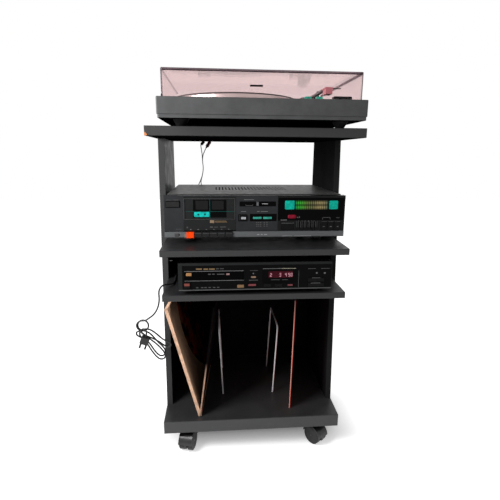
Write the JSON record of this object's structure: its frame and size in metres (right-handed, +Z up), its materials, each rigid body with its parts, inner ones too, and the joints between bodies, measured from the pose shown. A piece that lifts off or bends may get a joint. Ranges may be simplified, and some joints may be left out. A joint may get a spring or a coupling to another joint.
{
  "type": "stereo music centre",
  "caption": "Stereo music centre: turntable under a hinged clear lid, receiver with a cassette deck and a CD player, on a laminate rack on castors with a record bay.",
  "frame": {"origin": "on the floor, in the middle of the width and depth of the whole but the cords", "axes": "+X to the viewer's right, +Y to the back, +Z up; the fronts face -Y"},
  "size_m": [0.531, 0.4435, 0.9499],
  "materials": {
    "laminate": "charcoal laminated chipboard, satin",
    "back_board": "dark hardboard, matte",
    "steel_small": "zinc-plated, satin",
    "wire": "plated wire",
    "castor_plastic": "grey moulded plastic",
    "castor_tread": "dark moulded plastic",
    "deck_plastic": "dark grey moulded plastic",
    "rubber_foot": "matte",
    "platter_metal": "turned, satin",
    "mat_rubber": "ribbed, matte",
    "arm_metal": "satin",
    "weight_metal": "satin",
    "shell_plastic": "satin",
    "key_plastic": "glossy",
    "cover_clear": "clear acrylic, glossy",
    "case_metal": "satin paint",
    "fascia_dark": "satin",
    "trim_silver": "silver painted plastic",
    "window_black": "glossy",
    "door_plastic": "smoked, glossy",
    "cassette_plastic": "satin",
    "record_red": "orange-red, glossy",
    "power_red": "red, glossy",
    "sleeve_card": "printed card, satin",
    "sleeve_red": "printed card, satin",
    "cord_black": "satin",
    "lead_grey": "satin"
  },
  "bodies": {
    "music_centre": {"base_board": "laminate", "left_side_panel": "laminate", "right_side_panel": "laminate", "back_panel": "back_board", "cd_shelf": "laminate", "receiver_shelf": "laminate", "top_board": "laminate", "shelf_pins": "steel_small", "record_dividers": "wire", "assembly_screws": "steel_small", "turntable_plinth": "deck_plastic", "turntable_tray": "deck_plastic", "turntable_feet": "rubber_foot", "tonearm_base": "deck_plastic", "lid_hinges": "deck_plastic", "receiver_case": "case_metal", "receiver_chassis": "case_metal", "receiver_fascia": "fascia_dark", "receiver_trim_strip": "trim_silver", "tuner_window": "window_black", "cd_case": "case_metal", "cd_fascia": "fascia_dark", "mains_cord": "cord_black", "mains_hank": "cord_black", "mains_plug": "cord_black", "phono_lead": "lead_grey", "phono_plugs": "cord_black"},
    "front_left_swivel": {"front_left_castor_hood": "castor_plastic"},
    "front_left_wheel_pair": {"front_left_castor_wheels": "castor_tread"},
    "front_right_swivel": {"front_right_castor_hood": "castor_plastic"},
    "front_right_wheel_pair": {"front_right_castor_wheels": "castor_tread"},
    "rear_left_swivel": {"rear_left_castor_hood": "castor_plastic"},
    "rear_left_wheel_pair": {"rear_left_castor_wheels": "castor_tread"},
    "rear_right_swivel": {"rear_right_castor_hood": "castor_plastic"},
    "rear_right_wheel_pair": {"rear_right_castor_wheels": "castor_tread"},
    "turning_platter": {"platter": "platter_metal", "platter_mat": "mat_rubber"},
    "arm_yoke": {"tonearm_yoke": "arm_metal"},
    "arm": {"tonearm_tube": "arm_metal", "headshell": "shell_plastic"},
    "arm_weight": {"counterweight": "weight_metal"},
    "lid": {"dust_cover": "cover_clear"},
    "start_key_cap": {"start_key": "key_plastic"},
    "speed_key_caps": {"speed_keys": "key_plastic"},
    "cassette_lid": {"cassette_door": "door_plastic", "cassette": "cassette_plastic"},
    "record_key_cap": {"record_key": "record_red"},
    "play_key_cap": {"play_key": "key_plastic"},
    "rewind_key_cap": {"rewind_key": "key_plastic"},
    "forward_key_cap": {"forward_key": "key_plastic"},
    "stop_key_cap": {"stop_key": "key_plastic"},
    "pause_key_cap": {"pause_key": "key_plastic"},
    "receiver_power_cap": {"receiver_power_switch": "key_plastic"},
    "tone_knob": {"tone_slider": "trim_silver"},
    "receiver_button_caps": {"receiver_buttons": "key_plastic"},
    "disc_tray": {"cd_tray": "fascia_dark"},
    "cd_power_cap": {"cd_power_button": "power_red"},
    "cd_button_caps": {"cd_buttons": "key_plastic"},
    "gatefold": {"gatefold_sleeve": "sleeve_card"},
    "single_sleeve": {"record_sleeve": "sleeve_red"}
  },
  "joints": [
    {"name": "front_left_castor_swivel", "type": "hinge", "parent": "music_centre", "child": "front_left_swivel", "pos_m": [-0.168, -0.092, 0.066], "axis": [0, 0, 1], "continuous": true},
    {"name": "front_left_wheel_roll", "type": "hinge", "parent": "front_left_swivel", "child": "front_left_wheel_pair", "pos_m": [-0.17318, -0.11132, 0.025], "axis": [-0.9659, 0.2588, 0], "continuous": true},
    {"name": "front_right_castor_swivel", "type": "hinge", "parent": "music_centre", "child": "front_right_swivel", "pos_m": [0.168, -0.092, 0.066], "axis": [0, 0, 1], "continuous": true},
    {"name": "front_right_wheel_roll", "type": "hinge", "parent": "front_right_swivel", "child": "front_right_wheel_pair", "pos_m": [0.17947, -0.10838, 0.025], "axis": [-0.8192, -0.5736, 0], "continuous": true},
    {"name": "rear_left_castor_swivel", "type": "hinge", "parent": "music_centre", "child": "rear_left_swivel", "pos_m": [-0.168, 0.175, 0.066], "axis": [0, 0, 1], "continuous": true},
    {"name": "rear_left_wheel_roll", "type": "hinge", "parent": "rear_left_swivel", "child": "rear_left_wheel_pair", "pos_m": [-0.16453, 0.1553, 0.025], "axis": [-0.9848, -0.1736, 0], "continuous": true},
    {"name": "rear_right_castor_swivel", "type": "hinge", "parent": "music_centre", "child": "rear_right_swivel", "pos_m": [0.168, 0.175, 0.066], "axis": [0, 0, 1], "continuous": true},
    {"name": "rear_right_wheel_roll", "type": "hinge", "parent": "rear_right_swivel", "child": "rear_right_wheel_pair", "pos_m": [0.158, 0.15768, 0.025], "axis": [-0.866, 0.5, 0], "continuous": true},
    {"name": "platter_spin", "type": "hinge", "parent": "music_centre", "child": "turning_platter", "pos_m": [-0.042, -0.045, 0.9], "axis": [0, 0, 1], "continuous": true},
    {"name": "tonearm_swing", "type": "hinge", "parent": "music_centre", "child": "arm_yoke", "pos_m": [0.15, 0.055, 0.9215], "axis": [0, 0, -1], "range_deg": [0, 46]},
    {"name": "tonearm_lift", "type": "hinge", "parent": "arm_yoke", "child": "arm", "pos_m": [0.15, 0.055, 0.9215], "axis": [-1, 0, 0], "range_deg": [0, 5]},
    {"name": "counterweight_slide", "type": "slide", "parent": "arm", "child": "arm_weight", "axis": [0, -1, 0], "range_m": [-0.008, 0.005]},
    {"name": "lid_open", "type": "hinge", "parent": "music_centre", "child": "lid", "pos_m": [0.01, 0.15, 0.8983], "axis": [-1, 0, 0], "range_deg": [0, 60]},
    {"name": "start_key_press", "type": "slide", "parent": "music_centre", "child": "start_key_cap", "axis": [0, 0, -1], "range_m": [0, 0.0015], "stiffness_N_per_m": 300, "springref_m": -0.001},
    {"name": "speed_keys_press", "type": "slide", "parent": "music_centre", "child": "speed_key_caps", "axis": [0, 0, -1], "range_m": [0, 0.0015], "stiffness_N_per_m": 300, "springref_m": -0.001},
    {"name": "cassette_door_open", "type": "hinge", "parent": "music_centre", "child": "cassette_lid", "pos_m": [-0.10465, -0.114, 0.6063], "axis": [1, 0, 0], "range_deg": [0, 30]},
    {"name": "record_key_press", "type": "slide", "parent": "music_centre", "child": "record_key_cap", "axis": [0, 1, 0], "range_m": [0, 0.004], "stiffness_N_per_m": 300, "springref_m": -0.001},
    {"name": "play_key_press", "type": "slide", "parent": "music_centre", "child": "play_key_cap", "axis": [0, 1, 0], "range_m": [0, 0.004], "stiffness_N_per_m": 300, "springref_m": -0.001},
    {"name": "rewind_key_press", "type": "slide", "parent": "music_centre", "child": "rewind_key_cap", "axis": [0, 1, 0], "range_m": [0, 0.004], "stiffness_N_per_m": 300, "springref_m": -0.001},
    {"name": "forward_key_press", "type": "slide", "parent": "music_centre", "child": "forward_key_cap", "axis": [0, 1, 0], "range_m": [0, 0.004], "stiffness_N_per_m": 300, "springref_m": -0.001},
    {"name": "stop_key_press", "type": "slide", "parent": "music_centre", "child": "stop_key_cap", "axis": [0, 1, 0], "range_m": [0, 0.004], "stiffness_N_per_m": 300, "springref_m": -0.001},
    {"name": "pause_key_press", "type": "slide", "parent": "music_centre", "child": "pause_key_cap", "axis": [0, 1, 0], "range_m": [0, 0.004], "stiffness_N_per_m": 300, "springref_m": -0.001},
    {"name": "receiver_power_press", "type": "slide", "parent": "music_centre", "child": "receiver_power_cap", "axis": [0, 1, 0], "range_m": [0, 0.003], "stiffness_N_per_m": 300, "springref_m": -0.001},
    {"name": "tone_slide", "type": "slide", "parent": "music_centre", "child": "tone_knob", "axis": [1, 0, 0], "range_m": [-0.036, 0.036]},
    {"name": "receiver_buttons_press", "type": "slide", "parent": "music_centre", "child": "receiver_button_caps", "axis": [0, 1, 0], "range_m": [0, 0.0012], "stiffness_N_per_m": 300, "springref_m": -0.001},
    {"name": "cd_tray_slide", "type": "slide", "parent": "music_centre", "child": "disc_tray", "axis": [0, -1, 0], "range_m": [0, 0.135]},
    {"name": "cd_power_press", "type": "slide", "parent": "music_centre", "child": "cd_power_cap", "axis": [0, 1, 0], "range_m": [0, 0.0025], "stiffness_N_per_m": 300, "springref_m": -0.001},
    {"name": "cd_buttons_press", "type": "slide", "parent": "music_centre", "child": "cd_button_caps", "axis": [0, 1, 0], "range_m": [0, 0.001], "stiffness_N_per_m": 300, "springref_m": -0.001},
    {"name": "gatefold_out", "type": "slide", "parent": "music_centre", "child": "gatefold", "axis": [-0.0785, -0.9969, 0], "range_m": [0, 0.3]},
    {"name": "record_sleeve_out", "type": "slide", "parent": "music_centre", "child": "single_sleeve", "axis": [0, -1, 0], "range_m": [0, 0.3]}
  ]
}
